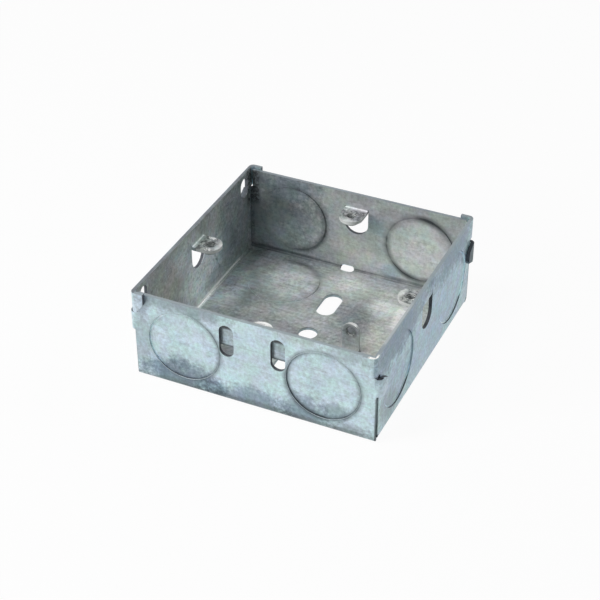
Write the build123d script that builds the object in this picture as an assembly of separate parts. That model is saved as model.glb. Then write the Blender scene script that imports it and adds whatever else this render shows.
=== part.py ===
from build123d import *
import os
from math import pi

# A square steel back box for one wiring plate, folded from one galvanised sheet.
# X runs along the front wall to the right, Y to the back wall, Z up out of the open mouth.
# The origin is the centre of the base's outer face. All sizes are in millimetres.

# Sheet and overall size
BOX_WIDTH = 70.0            # outside of the left wall to outside of the right wall
BOX_LENGTH = 70.0           # outside of the front wall to outside of the back wall
BOX_DEPTH = 28.0            # outer face of the base to the rim of the side walls and their flaps
END_DROP = 0.6              # how far the front and back walls stop below that rim
SHEET = 1.0                 # thickness of the steel
FOLD_R = 0.5                # inside radius of every fold
NEUTRAL_SHARE = 0.44        # where the unstretched layer lies in the thickness of a fold

# Corner joints: a flap at the rim laps the front or back wall, a tab below it laps the side wall
LAP_GAP = 0.2               # air between a flap or tab and the wall that it lies on
SEAM_GAP = 0.3              # open seam between the end of a side wall and the next fold
BUTT_GAP = 0.15             # the same seam above the base's fold, where the side wall comes closer
BUTT_RISE = 0.5             # where that starts, above the fold
FLAP_HEIGHT = 6.6           # rim down to the slit between flap and tab
FLAP_REACH = 3.8            # flap's end, in from the outside of the side wall
FLAP_END_HEIGHT = 3.2       # height of the flap's free end, below which it slopes to the fold
SLIT = 0.4                  # cut between the flap and the tab
TAB_HEIGHT = 6.6            # slit down to the tab's lower edge
TAB_REACH = 4.6             # tab's end, in from the outside of the front or back wall
TAB_TOP_TAPER = 1.9         # how far the tab's upper edge slopes down towards its free end
TAB_FOOT_TAPER = 1.1        # how far its lower edge slopes up
RELIEF_HEIGHT = 1.0         # square notch at each end of the tab's root, where the folds end

# Fixing lugs, bent in from the walls and tapped for the plate's screws
LUG_SETBACK = 4.85          # screw centre, in from the outside of the wall
LUG_DROP = 5.4              # rim down to the lug's upper face
LUG_WIDTH = 7.0             # also the diameter of its round end
LUG_HOLE_D = 2.9            # core of a 3.5 mm thread
COLLAR_WALL = 0.65          # wall of the collar drawn down round the thread
COLLAR_DEPTH = 1.2          # collar's length below the lug
LANCE_GAP = 0.2             # cut at the sides of a tongue that is bent out of the sheet
LANCE_TIP_GAP = 0.8         # the same cut beyond the tongue's tip

# Front wall: two upright slots, and the welded strip behind them that carries its lug
FRONT_SLOT_SPACING = 14.8   # centre to centre
FRONT_SLOT_WIDTH = 4.2
FRONT_SLOT_HEIGHT = 9.9
FRONT_SLOT_DROP = 3.3       # rim down to the top of the slot
STRIP_MARGIN = 0.1          # strip beyond the outer edge of each slot
STRIP_DROP = 4.8            # rim down to the strip's upper edge
STRIP_HEIGHT = 5.6
STRIP_RELIEF = 0.6          # slit in the strip at each side of its lug

# Left wall: an upright slot near each corner, the front one a little smaller
SIDE_SLOT_DROP = 1.3        # rim down to the top of both slots
BACK_SLOT_WIDTH = 4.6
BACK_SLOT_HEIGHT = 6.4
BACK_SLOT_INSET = 5.5       # slot's centre, in from the outside of the back wall
FORE_SLOT_WIDTH = 3.8
FORE_SLOT_HEIGHT = 5.2
FORE_SLOT_INSET = 4.4       # slot's centre, in from the outside of the front wall

# Knock-outs: discs half sheared inward through the sheet, two in each wall and one in the base
KNOCKOUT_D = 21.0
KNOCKOUT_SHIFT = 0.35       # how far a disc is pushed into the box
WALL_KNOCKOUT_INSET = 14.9  # disc's centre, in from the outside of the next wall
WALL_KNOCKOUT_RISE = 14.0   # disc's centre above the base's outer face
BASE_KNOCKOUT_INSET_X = 18.2    # base disc's centre, in from the outside of the left wall
BASE_KNOCKOUT_INSET_Y = 15.2    # the same, in from the outside of the back wall

# Base: two fixing slots, a hole at the centre, a drain slot in the back fold and the earth tab
FIX_SLOT_SPACING = 30.0     # centre to centre, along Y
FIX_SLOT_WIDTH = 5.6
FIX_SLOT_LENGTH = 11.0
CENTRE_HOLE_D = 5.5
DRAIN_LENGTH = 4.4          # along the fold
DRAIN_WIDTH = 2.0
DRAIN_X = -2.6
EARTH_X = 14.2
EARTH_Y = -1.8              # back face of the tab
EARTH_WIDTH = 5.0           # also the diameter of its round top
EARTH_HEIGHT = 10.2         # outer face of the base to the top of the tab
EARTH_HOLE_D = 2.9          # core of a 3.5 mm thread
EARTH_HOLE_DROP = 2.5       # top of the tab down to the hole's centre

# Places that follow from those sizes
FOLD_OUT = FOLD_R + SHEET                   # outside radius of a fold
HALF_X = BOX_WIDTH / 2
HALF_Y = BOX_LENGTH / 2
FLAT_X = HALF_X - FOLD_OUT                  # where the base's flat ends at the side folds
FLAT_Y = HALF_Y - FOLD_OUT                  # where it ends at the front and back folds
FRONT_END = HALF_X + LAP_GAP - FOLD_R       # end of the front and back walls, where the tabs fold
SIDE_END = FLAT_Y - SEAM_GAP                # end of the side walls below the flaps
FLAP_FOLD = HALF_Y + LAP_GAP - FOLD_R       # end of the side walls at the flaps
LAP_FACE_Y = HALF_Y + LAP_GAP + SHEET       # outer face of a flap
SLIT_Z = BOX_DEPTH - FLAP_HEIGHT
TAB_FOOT_Z = SLIT_Z - TAB_HEIGHT
LUG_TOP = BOX_DEPTH - LUG_DROP
LUG_Y = HALF_Y - LUG_SETBACK
FOLD_ARC = pi / 2 * (FOLD_R + NEUTRAL_SHARE * SHEET)    # flat length that one fold takes up
PAST = 2 * SHEET                            # how far a cut runs beyond the sheet


def fold_section(leg_a, leg_b):
    """Section of a strip with one square fold, whose centre is the origin.

    Leg a runs from the fold along -x, leg b along +y.
    """
    mid = FOLD_R + SHEET / 2
    quarter = Pos(FOLD_OUT / 2, -FOLD_OUT / 2) * Rectangle(FOLD_OUT, FOLD_OUT)
    section = (Circle(FOLD_OUT) - Circle(FOLD_R)) & quarter
    if leg_a > 0:
        section += Pos(-leg_a / 2, -mid) * Rectangle(leg_a, SHEET)
    if leg_b > 0:
        section += Pos(mid, leg_b / 2) * Rectangle(SHEET, leg_b)
    return section


def folded_wall(centre, outward, half_length, rim):
    """A wall from its fold at the base up to its rim, extruded to both sides of its middle."""
    along = Vector(outward).cross(Vector(0, 0, 1))
    plane = Plane(origin=centre, x_dir=outward, z_dir=along)
    return extrude(plane * fold_section(0, rim - FOLD_OUT), half_length, both=True)


def mirror_pair(shape, plane):
    """A shape and its mirror image."""
    return [shape, mirror(shape, about=plane)]


def at_all_corners(shape):
    """A shape made for the front right corner, set at all four corners."""
    return [copy for half in mirror_pair(shape, Plane.YZ) for copy in mirror_pair(half, Plane.XZ)]


# Planes on the walls: x along the wall, y up, z outward, origin at the foot of the wall's middle
FRONT = Plane(origin=(0, -HALF_Y, 0), x_dir=(1, 0, 0), z_dir=(0, -1, 0))
BACK = Plane(origin=(0, HALF_Y, 0), x_dir=(-1, 0, 0), z_dir=(0, 1, 0))
RIGHT = Plane(origin=(HALF_X, 0, 0), x_dir=(0, 1, 0), z_dir=(1, 0, 0))
LEFT = Plane(origin=(-HALF_X, 0, 0), x_dir=(0, -1, 0), z_dir=(-1, 0, 0))


def through(wall, profile):
    """A cut through one wall, from a profile drawn on its outer face."""
    return extrude(wall * profile, SHEET + PAST / 2, both=True)


def upright_slot(width, height, x, top):
    """Profile of an upright slot with round ends."""
    return Pos(x, top - height / 2) * SlotOverall(height, width, rotation=90)


# Folded sheet: base and four walls
box = extrude(Rectangle(2 * FLAT_X, 2 * FLAT_Y), SHEET)
front_wall = folded_wall((0, -FLAT_Y, FOLD_OUT), (0, -1, 0), FRONT_END, BOX_DEPTH - END_DROP)
right_wall = folded_wall((FLAT_X, 0, FOLD_OUT), (1, 0, 0), SIDE_END, BOX_DEPTH)
box += mirror_pair(front_wall, Plane.XZ) + mirror_pair(right_wall, Plane.YZ)

# Above the base's fold the side walls run on, close up to the front and back walls
butt_foot = FOLD_OUT + BUTT_RISE
butt_reach = HALF_Y - SHEET - BUTT_GAP - SIDE_END
butt = extrude(
    Pos(HALF_X - SHEET / 2, -SIDE_END - butt_reach / 2, butt_foot) * Rectangle(SHEET, butt_reach),
    TAB_FOOT_Z - RELIEF_HEIGHT / 2 - butt_foot,
)
box += at_all_corners(butt)

# The ends of the front and back walls stop short of the flaps' folds
flap_notch = extrude(
    Pos((FLAT_X + HALF_X) / 2, -HALF_Y, SLIT_Z - SLIT / 2) * Rectangle(FOLD_OUT, 2 * FOLD_OUT),
    FLAP_HEIGHT + PAST,
)
box -= at_all_corners(flap_notch)

# Rim flap: the side wall runs on, folds round the corner and lies on the front wall
flap_end_x = HALF_X - FLAP_REACH
flap_foot = SLIT_Z + SLIT / 2
flap = extrude(
    Pos(FLAT_X, -FLAP_FOLD, flap_foot) * fold_section(FLAT_X - flap_end_x, FLAP_FOLD - SIDE_END),
    BOX_DEPTH - flap_foot,
)
flap_outline = Polyline(
    (flap_end_x, BOX_DEPTH),
    (flap_end_x, BOX_DEPTH - FLAP_END_HEIGHT),
    (FLAT_X, flap_foot),
    (HALF_X, flap_foot),
    (HALF_X, BOX_DEPTH),
    close=True,
)
flap &= extrude(FRONT * make_face(flap_outline), HALF_Y, both=True)

# Corner tab: the front wall runs on, folds round the corner and lies on the side wall
tab_end_y = HALF_Y - TAB_REACH
tab_top = SLIT_Z - SLIT / 2
tab = extrude(
    Pos(FRONT_END, -FLAT_Y, TAB_FOOT_Z) * fold_section(FRONT_END - FLAT_X, FLAT_Y - tab_end_y),
    tab_top - TAB_FOOT_Z,
)
tab_outline = Polyline(
    (-LAP_FACE_Y, tab_top),
    (-FLAT_Y, tab_top),
    (-tab_end_y, tab_top - TAB_TOP_TAPER),
    (-tab_end_y, TAB_FOOT_Z + TAB_FOOT_TAPER),
    (-FLAT_Y, TAB_FOOT_Z),
    (-LAP_FACE_Y, TAB_FOOT_Z),
    close=True,
)
tab &= extrude(RIGHT * make_face(tab_outline), HALF_X, both=True)

# Square notches in the folds, at the ends of each tab's root, so that the folds do not tear
for relief_z in (SLIT_Z, TAB_FOOT_Z):
    notch = Pos(HALF_X, -HALF_Y, relief_z) * Box(2 * FOLD_OUT, 2 * FOLD_OUT, RELIEF_HEIGHT)
    flap -= notch
    tab -= notch
box += at_all_corners(flap) + at_all_corners(tab)


def tongue_length(flat):
    """Length of the cut that frees a tongue with one fold, from the fold to past its tip."""
    return flat + FOLD_ARC + LANCE_TIP_GAP


def tongue_cut(width, length):
    """Profile of that cut: the fold is on the x axis and the round tip points down."""
    radius = width / 2 + LANCE_GAP
    tip = Pos(0, radius - length) * Circle(radius)
    return tip + Pos(0, (radius - length) / 2) * Rectangle(2 * radius, length - radius)


def tapped_lug(root):
    """Plan of a lug that points along -y to its tip, with the screw's centre at the origin."""
    radius = LUG_WIDTH / 2
    return Circle(radius) + Pos(0, root / 2) * Rectangle(LUG_WIDTH, root)


def drawn_collar():
    """Collar drawn down round a lug's thread, with the screw's axis on z and the lug's top at 0."""
    outer = Circle(LUG_HOLE_D / 2 + COLLAR_WALL)
    return Pos(0, 0, -SHEET - COLLAR_DEPTH) * extrude(outer, COLLAR_DEPTH + SHEET / 2)


# Lanced lugs on the right, back and left walls: each tongue leaves its own window below it
lug_flat = LUG_SETBACK + LUG_WIDTH / 2 - FOLD_OUT
fold_z = LUG_TOP + FOLD_R
lug_window = Pos(0, fold_z) * tongue_cut(LUG_WIDTH, tongue_length(lug_flat))
thread = extrude(Circle(LUG_HOLE_D / 2), SHEET + COLLAR_DEPTH + PAST, both=True)
for wall, angle in ((BACK, 0), (RIGHT, -90), (LEFT, 90)):
    box -= through(wall, lug_window)
    side = wall.origin - wall.z_dir * FOLD_OUT + Vector(0, 0, fold_z)
    bend = Plane(origin=side, x_dir=wall.z_dir, z_dir=-wall.x_dir)
    lug = extrude(bend * fold_section(lug_flat, 0), LUG_WIDTH / 2, both=True)
    screw = wall.origin - wall.z_dir * LUG_SETBACK + Vector(0, 0, LUG_TOP)
    place = Location(tuple(screw), (0, 0, angle))
    lug &= extrude(place * tapped_lug(LUG_SETBACK), FOLD_OUT + PAST, both=True)
    box += [lug, place * drawn_collar()]
    box -= place * thread

# Front wall: the two slots, and the strip welded behind them with its own bent lug
slot_top = BOX_DEPTH - FRONT_SLOT_DROP
for x in (-FRONT_SLOT_SPACING / 2, FRONT_SLOT_SPACING / 2):
    box -= through(FRONT, upright_slot(FRONT_SLOT_WIDTH, FRONT_SLOT_HEIGHT, x, slot_top))

strip_half = (FRONT_SLOT_SPACING + FRONT_SLOT_WIDTH) / 2 + STRIP_MARGIN
strip_top = BOX_DEPTH - STRIP_DROP
strip_foot = strip_top - STRIP_HEIGHT
strip_face = Pos(0, (strip_top + strip_foot) / 2) * Rectangle(2 * strip_half, STRIP_HEIGHT)
strip_bend_z = LUG_TOP - FOLD_OUT
lug_opening = LUG_WIDTH / 2 + STRIP_RELIEF
strip_face -= Pos(0, strip_bend_z + STRIP_HEIGHT / 2) * Rectangle(2 * lug_opening, STRIP_HEIGHT)
strip = Pos(0, SHEET, 0) * extrude(FRONT * strip_face, -SHEET)
strip_plane = Plane(
    origin=(0, -HALF_Y + SHEET + FOLD_OUT, strip_bend_z), x_dir=(0, 0, 1), z_dir=(-1, 0, 0)
)
strip_lug_flat = LUG_SETBACK + LUG_WIDTH / 2 - SHEET - FOLD_OUT
strip_lug = extrude(strip_plane * fold_section(0, strip_lug_flat), LUG_WIDTH / 2, both=True)
place = Location((0, -LUG_Y, LUG_TOP), (0, 0, 180))
strip_lug &= extrude(place * tapped_lug(LUG_SETBACK), FOLD_OUT + PAST, both=True)
box += [strip, strip_lug, place * drawn_collar()]
box -= place * thread

# Left wall: an upright slot near each corner
side_slot_top = BOX_DEPTH - SIDE_SLOT_DROP
back_slot_x = BACK_SLOT_INSET - HALF_Y
fore_slot_x = HALF_Y - FORE_SLOT_INSET
box -= through(LEFT, upright_slot(BACK_SLOT_WIDTH, BACK_SLOT_HEIGHT, back_slot_x, side_slot_top))
box -= through(LEFT, upright_slot(FORE_SLOT_WIDTH, FORE_SLOT_HEIGHT, fore_slot_x, side_slot_top))

# Base: fixing slots, centre hole and drain slot
base_cuts = Circle(CENTRE_HOLE_D / 2)
for y in (-FIX_SLOT_SPACING / 2, FIX_SLOT_SPACING / 2):
    base_cuts += Pos(0, y) * SlotOverall(FIX_SLOT_LENGTH, FIX_SLOT_WIDTH, rotation=90)
box -= extrude(base_cuts, SHEET + PAST, both=True)
drain = Plane(origin=(DRAIN_X, HALF_Y, 0), x_dir=(1, 0, 0), z_dir=(0, 1, -1))
box -= extrude(drain * SlotOverall(DRAIN_LENGTH, DRAIN_WIDTH), FOLD_OUT + SHEET, both=True)

# Earth tab: a tongue of the base bent upright, tapped near its round top
earth_flat = EARTH_HEIGHT - FOLD_OUT
earth_fold_y = EARTH_Y + FOLD_R
earth_window = Pos(EARTH_X, earth_fold_y) * tongue_cut(EARTH_WIDTH, tongue_length(earth_flat))
box -= extrude(earth_window, SHEET + PAST, both=True)
earth_bend = Plane(origin=(EARTH_X, earth_fold_y, FOLD_OUT), x_dir=(0, -1, 0), z_dir=(-1, 0, 0))
earth = extrude(earth_bend * fold_section(0, earth_flat), EARTH_WIDTH / 2, both=True)
earth_face = Plane(origin=(EARTH_X, EARTH_Y, EARTH_HEIGHT), x_dir=(1, 0, 0), z_dir=(0, -1, 0))
earth_radius = EARTH_WIDTH / 2
earth_shape = Pos(0, -earth_radius) * Circle(earth_radius)
earth_shape += Pos(0, -(earth_radius + EARTH_HEIGHT) / 2) * Rectangle(
    EARTH_WIDTH, EARTH_HEIGHT - earth_radius
)
earth &= extrude(earth_face * earth_shape, FOLD_OUT + PAST, both=True)
box += earth
earth_hole = earth_face * Pos(0, -EARTH_HOLE_DROP) * Circle(EARTH_HOLE_D / 2)
box -= extrude(earth_hole, SHEET + PAST, both=True)


def half_shear(body, outer_face, x, y):
    """A body with one disc pushed into the box: sunk in the outer face and proud of the inner one."""
    disc = outer_face * Pos(x, y) * Circle(KNOCKOUT_D / 2)
    return body + extrude(disc, -SHEET - KNOCKOUT_SHIFT) - extrude(disc, -KNOCKOUT_SHIFT)


# Knock-outs in the walls, then in the base
knockout_x = HALF_X - WALL_KNOCKOUT_INSET
knockout_y = HALF_Y - WALL_KNOCKOUT_INSET
for wall, offset in ((FRONT, knockout_x), (BACK, knockout_x), (RIGHT, knockout_y), (LEFT, knockout_y)):
    for x in (-offset, offset):
        box = half_shear(box, wall, x, WALL_KNOCKOUT_RISE)

underside = Plane(origin=(0, 0, 0), x_dir=(1, 0, 0), z_dir=(0, 0, -1))
box = half_shear(box, underside, BASE_KNOCKOUT_INSET_X - HALF_X, BASE_KNOCKOUT_INSET_Y - HALF_Y)

os.makedirs("parts", exist_ok=True)
export_step(box, "parts/back_box.step")
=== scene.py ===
import logging
import math
from dataclasses import dataclass, field
from enum import Enum
from functools import cached_property, reduce
from typing import Any, Iterable, Sequence

import bpy
from mathutils import Matrix, Vector


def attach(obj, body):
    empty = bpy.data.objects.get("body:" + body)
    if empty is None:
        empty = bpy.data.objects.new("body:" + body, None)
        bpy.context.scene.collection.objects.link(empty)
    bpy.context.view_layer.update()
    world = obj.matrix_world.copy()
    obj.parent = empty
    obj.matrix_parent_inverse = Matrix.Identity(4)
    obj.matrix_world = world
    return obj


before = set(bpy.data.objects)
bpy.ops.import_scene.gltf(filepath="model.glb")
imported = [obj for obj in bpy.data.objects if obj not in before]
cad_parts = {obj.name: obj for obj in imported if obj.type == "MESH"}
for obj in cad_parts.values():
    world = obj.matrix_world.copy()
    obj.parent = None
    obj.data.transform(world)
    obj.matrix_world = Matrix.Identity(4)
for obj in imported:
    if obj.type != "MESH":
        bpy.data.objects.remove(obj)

log = logging.getLogger("back_box")

Colour = tuple[float, float, float]
Point = tuple[float, float, float]
MM = 0.001
FAR_MM = 50.0


class Wall(Enum):
    """The four walls of the box, each with the quarter turn that takes the front wall to it."""

    FRONT = 0
    RIGHT = 1
    BACK = 2
    LEFT = 3

    @property
    def angle(self) -> float:
        """The turn in radians."""
        return self.value * math.pi / 2

    def turned(self, place: Point) -> Point:
        """A place on the front wall, turned to this wall."""
        return tuple(Matrix.Rotation(self.angle, 3, "Z") @ Vector(place))


class Use(Enum):
    """What a ray is for, as the white surround tells them apart."""

    CAMERA = "Is Camera Ray"
    GLOSSY = "Is Glossy Ray"
    TRANSMISSION = "Is Transmission Ray"


# Shader maths


@dataclass(frozen=True)
class Sock:
    """One output socket, with operators that add Math nodes to its tree."""

    sheet: "NodeSheet"
    socket: bpy.types.NodeSocket

    def __add__(self, other: "Value") -> "Sock":
        """Sum of two values."""
        return self.sheet.math("ADD", self, other)

    def __radd__(self, other: "Value") -> "Sock":
        """Sum with a number on the left."""
        return self.sheet.math("ADD", other, self)

    def __sub__(self, other: "Value") -> "Sock":
        """Difference of two values."""
        return self.sheet.math("SUBTRACT", self, other)

    def __rsub__(self, other: "Value") -> "Sock":
        """Difference with a number on the left."""
        return self.sheet.math("SUBTRACT", other, self)

    def __mul__(self, other: "Value") -> "Sock":
        """Product of two values."""
        return self.sheet.math("MULTIPLY", self, other)

    def __rmul__(self, other: "Value") -> "Sock":
        """Product with a number on the left."""
        return self.sheet.math("MULTIPLY", other, self)

    def __truediv__(self, other: "Value") -> "Sock":
        """Quotient of two values."""
        return self.sheet.math("DIVIDE", self, other)

    def __rtruediv__(self, other: "Value") -> "Sock":
        """Quotient with a number on the left."""
        return self.sheet.math("DIVIDE", other, self)

    def __neg__(self) -> "Sock":
        """The value with its sign turned."""
        return self.sheet.math("MULTIPLY", self, -1.0)

    def __abs__(self) -> "Sock":
        """The value without its sign."""
        return self.sheet.math("ABSOLUTE", self)

    def least(self, other: "Value") -> "Sock":
        """The smaller of two values."""
        return self.sheet.math("MINIMUM", self, other)

    def most(self, other: "Value") -> "Sock":
        """The larger of two values."""
        return self.sheet.math("MAXIMUM", self, other)

    def rise(self, low: float, high: float) -> "Sock":
        """A smooth step of the value.

        Args:
            low: where the step is still 0.
            high: where it has reached 1.

        Returns:
            The step, between 0 and 1.
        """
        return self.sheet.node(
            "ShaderNodeMapRange",
            {"interpolation_type": "SMOOTHSTEP"},
            {"Value": self, "From Min": low, "From Max": high},
        )

    def fall(self, low: float, high: float) -> "Sock":
        """One minus the smooth step from low to high."""
        return 1.0 - self.rise(low, high)


Value = Sock | float | int | tuple


def largest(values: Iterable[Sock]) -> Sock:
    """The largest of several values."""
    return reduce(Sock.most, values)


class NodeSheet:
    """A node tree that is written as expressions."""

    def __init__(self, tree: bpy.types.NodeTree) -> None:
        """Empties the tree.

        Args:
            tree: the tree to write into.
        """
        self.tree = tree
        tree.nodes.clear()

    def node(
        self,
        kind: str,
        settings: dict[str, Any] | None = None,
        inputs: dict[str | int, Value] | None = None,
        output: str | int = 0,
    ) -> Sock:
        """Adds one node.

        Args:
            kind: the node's type.
            settings: its properties, set before its sockets.
            inputs: values or links, by socket name or number.
            output: name or number of the socket that is handed back.

        Returns:
            The chosen output, or the first one.
        """
        made = self.tree.nodes.new(kind)
        for name, value in (settings or {}).items():
            setattr(made, name, value)
        for key, value in (inputs or {}).items():
            self.put(value, made.inputs[key])
        return Sock(self, made.outputs[output]) if len(made.outputs) else Sock(self, None)

    def put(self, value: Value, socket: bpy.types.NodeSocket) -> None:
        """Links or sets one input socket.

        Args:
            value: a link, a number, a colour or a vector.
            socket: the input that takes it.
        """
        if isinstance(value, Sock):
            self.tree.links.new(value.socket, socket)
        elif isinstance(value, tuple) and socket.type == "RGBA":
            socket.default_value = (*value, 1.0)
        else:
            socket.default_value = value

    def math(self, operation: str, first: Value, second: Value | None = None) -> Sock:
        """Adds a Math node.

        Args:
            operation: the node's operation.
            first: its first value.
            second: its second value, where the operation has one.

        Returns:
            The result.
        """
        inputs: dict[str | int, Value] = {0: first}
        if second is not None:
            inputs[1] = second
        return self.node("ShaderNodeMath", {"operation": operation}, inputs)

    def mix(self, share: Value, first: Value, second: Value) -> Sock:
        """Blends two colours: share 0 is the first, 1 the second."""
        settings = {"data_type": "RGBA", "clamp_factor": True}
        return self.node("ShaderNodeMix", settings, {0: share, 6: first, 7: second}, 2)

    def scaled(self, first: Value, factor: Value) -> Sock:
        """A colour or vector times one value."""
        settings = {"operation": "SCALE"}
        return self.node("ShaderNodeVectorMath", settings, {0: first, "Scale": factor})

    def times(self, first: Value, second: Value) -> Sock:
        """A colour or vector times another, part by part."""
        return self.node("ShaderNodeVectorMath", {"operation": "MULTIPLY"}, {0: first, 1: second})

    def noise(self, point: Sock, size_mm: float, detail: float = 3.0, rough: float = 0.55) -> Sock:
        """Cloudy noise from 0 to 1.

        Args:
            point: where to read it, in millimetres.
            size_mm: size of its largest clouds.
            detail: number of finer layers.
            rough: strength of the finer layers.

        Returns:
            The noise value.
        """
        inputs = {"Vector": point, "Scale": 1.0 / size_mm, "Detail": detail, "Roughness": rough}
        return self.node("ShaderNodeTexNoise", {"noise_dimensions": "3D"}, inputs)


def new_material(name: str) -> tuple[bpy.types.Material, NodeSheet]:
    """Makes a material with an empty node sheet.

    Args:
        name: the material's name.

    Returns:
        The material and its sheet.
    """
    material = bpy.data.materials.new(name)
    material.use_nodes = True
    return material, NodeSheet(material.node_tree)


def close_material(sheet: NodeSheet, surface: Sock) -> None:
    """Joins a shader to the material's output."""
    sheet.node("ShaderNodeOutputMaterial", {}, {"Surface": surface})


# Sizes that the finishes and the added pieces share with the folded box


@dataclass(frozen=True)
class BoxSizes:
    """Sizes of the folded box, in millimetres."""

    half: float = 35.0
    depth: float = 28.0
    end_drop: float = 0.6
    sheet: float = 1.0
    fold: float = 1.5
    tab_foot: float = 14.8
    knockout_radius: float = 10.5
    knockout_shift: float = 0.35
    knockout_along: float = 20.1
    knockout_rise: float = 14.0
    base_knockout: tuple[float, float] = (-16.8, 19.8)
    front_slot_along: float = 7.4
    front_slot_width: float = 4.2
    front_slot_ends: tuple[float, float] = (14.8, 24.7)
    strip_top: float = 23.2
    lug_centre: float = 30.15
    lug_top: float = 22.6
    lug_thread: tuple[float, float] = (1.45, 2.2)
    lug_pitch: float = 0.6
    earth_place: Point = (14.2, -1.8, 7.7)
    earth_thread: tuple[float, float] = (1.45, 1.0)
    earth_pitch: float = 0.6


# Finishes


class Face(Enum):
    """The faces with stains and painted shade of their own: the outer front and right, and the
    others inside.
    """

    FRONT = "front"
    RIGHT = "right"
    BACK = "back"
    LEFT = "left"
    BASE = "base"

    @property
    def axes(self) -> str:
        """Names of the two axes that a stain on this face is placed on."""
        return {"base": "xy", "right": "yz", "left": "yz"}.get(self.value, "xz")


@dataclass(frozen=True)
class StainOrShade:
    """One soft patch on a face: grime or cleaner zinc, and in many patches painted shade or
    painted light.

    Its place and reach are in millimetres along the face's two axes, and its strength is in
    steps of brightness, where minus one is half as bright. Its warmth runs from minus one for
    blue-grey to one for buff.
    """

    face: Face
    place: tuple[float, float]
    reach: tuple[float, float]
    strength: float
    warmth: float = 0.0


@dataclass(frozen=True)
class SurfacePoint:
    """A point of the box's surface: its place in millimetres, the way it faces and its noise."""

    sheet: NodeSheet
    point: Sock
    x: Sock
    y: Sock
    z: Sock
    facing_x: Sock
    facing_y: Sock
    facing_z: Sock
    clouds: Sock
    blotches: Sock
    specks: Sock
    grain: Sock
    hue: Sock
    patina: Sock

    @classmethod
    def read(cls, sheet: NodeSheet, cloud_mm: float) -> "SurfacePoint":
        """Reads the point that is being shaded.

        Args:
            sheet: the node sheet to read it on.
            cloud_mm: size of the largest clouds.

        Returns:
            The point.
        """
        place = sheet.node("ShaderNodeTexCoord", output="Object")
        normal = sheet.node("ShaderNodeTexCoord", output="Normal")
        point = sheet.scaled(place, 1.0 / MM)
        axes = [sheet.node("ShaderNodeSeparateXYZ", {}, {0: point}, axis) for axis in range(3)]
        facing = [sheet.node("ShaderNodeSeparateXYZ", {}, {0: normal}, axis) for axis in range(3)]
        noises = [
            sheet.noise(point, cloud_mm),
            sheet.noise(point, 4.2, 4.0, 0.6),
            sheet.noise(point, 1.0, 4.0, 0.65),
            sheet.noise(sheet.times(point, (0.16, 1.1, 1.1)), 1.0, 3.0, 0.6),
            sheet.noise(sheet.times(point, (1.0, 1.0, -1.0)), 3.4, 3.0, 0.6),
            sheet.noise(sheet.times(point, (-1.0, 1.0, 1.0)), 5.0, 3.0, 0.6),
        ]
        return cls(sheet, point, *axes, *facing, *noises)


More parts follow.
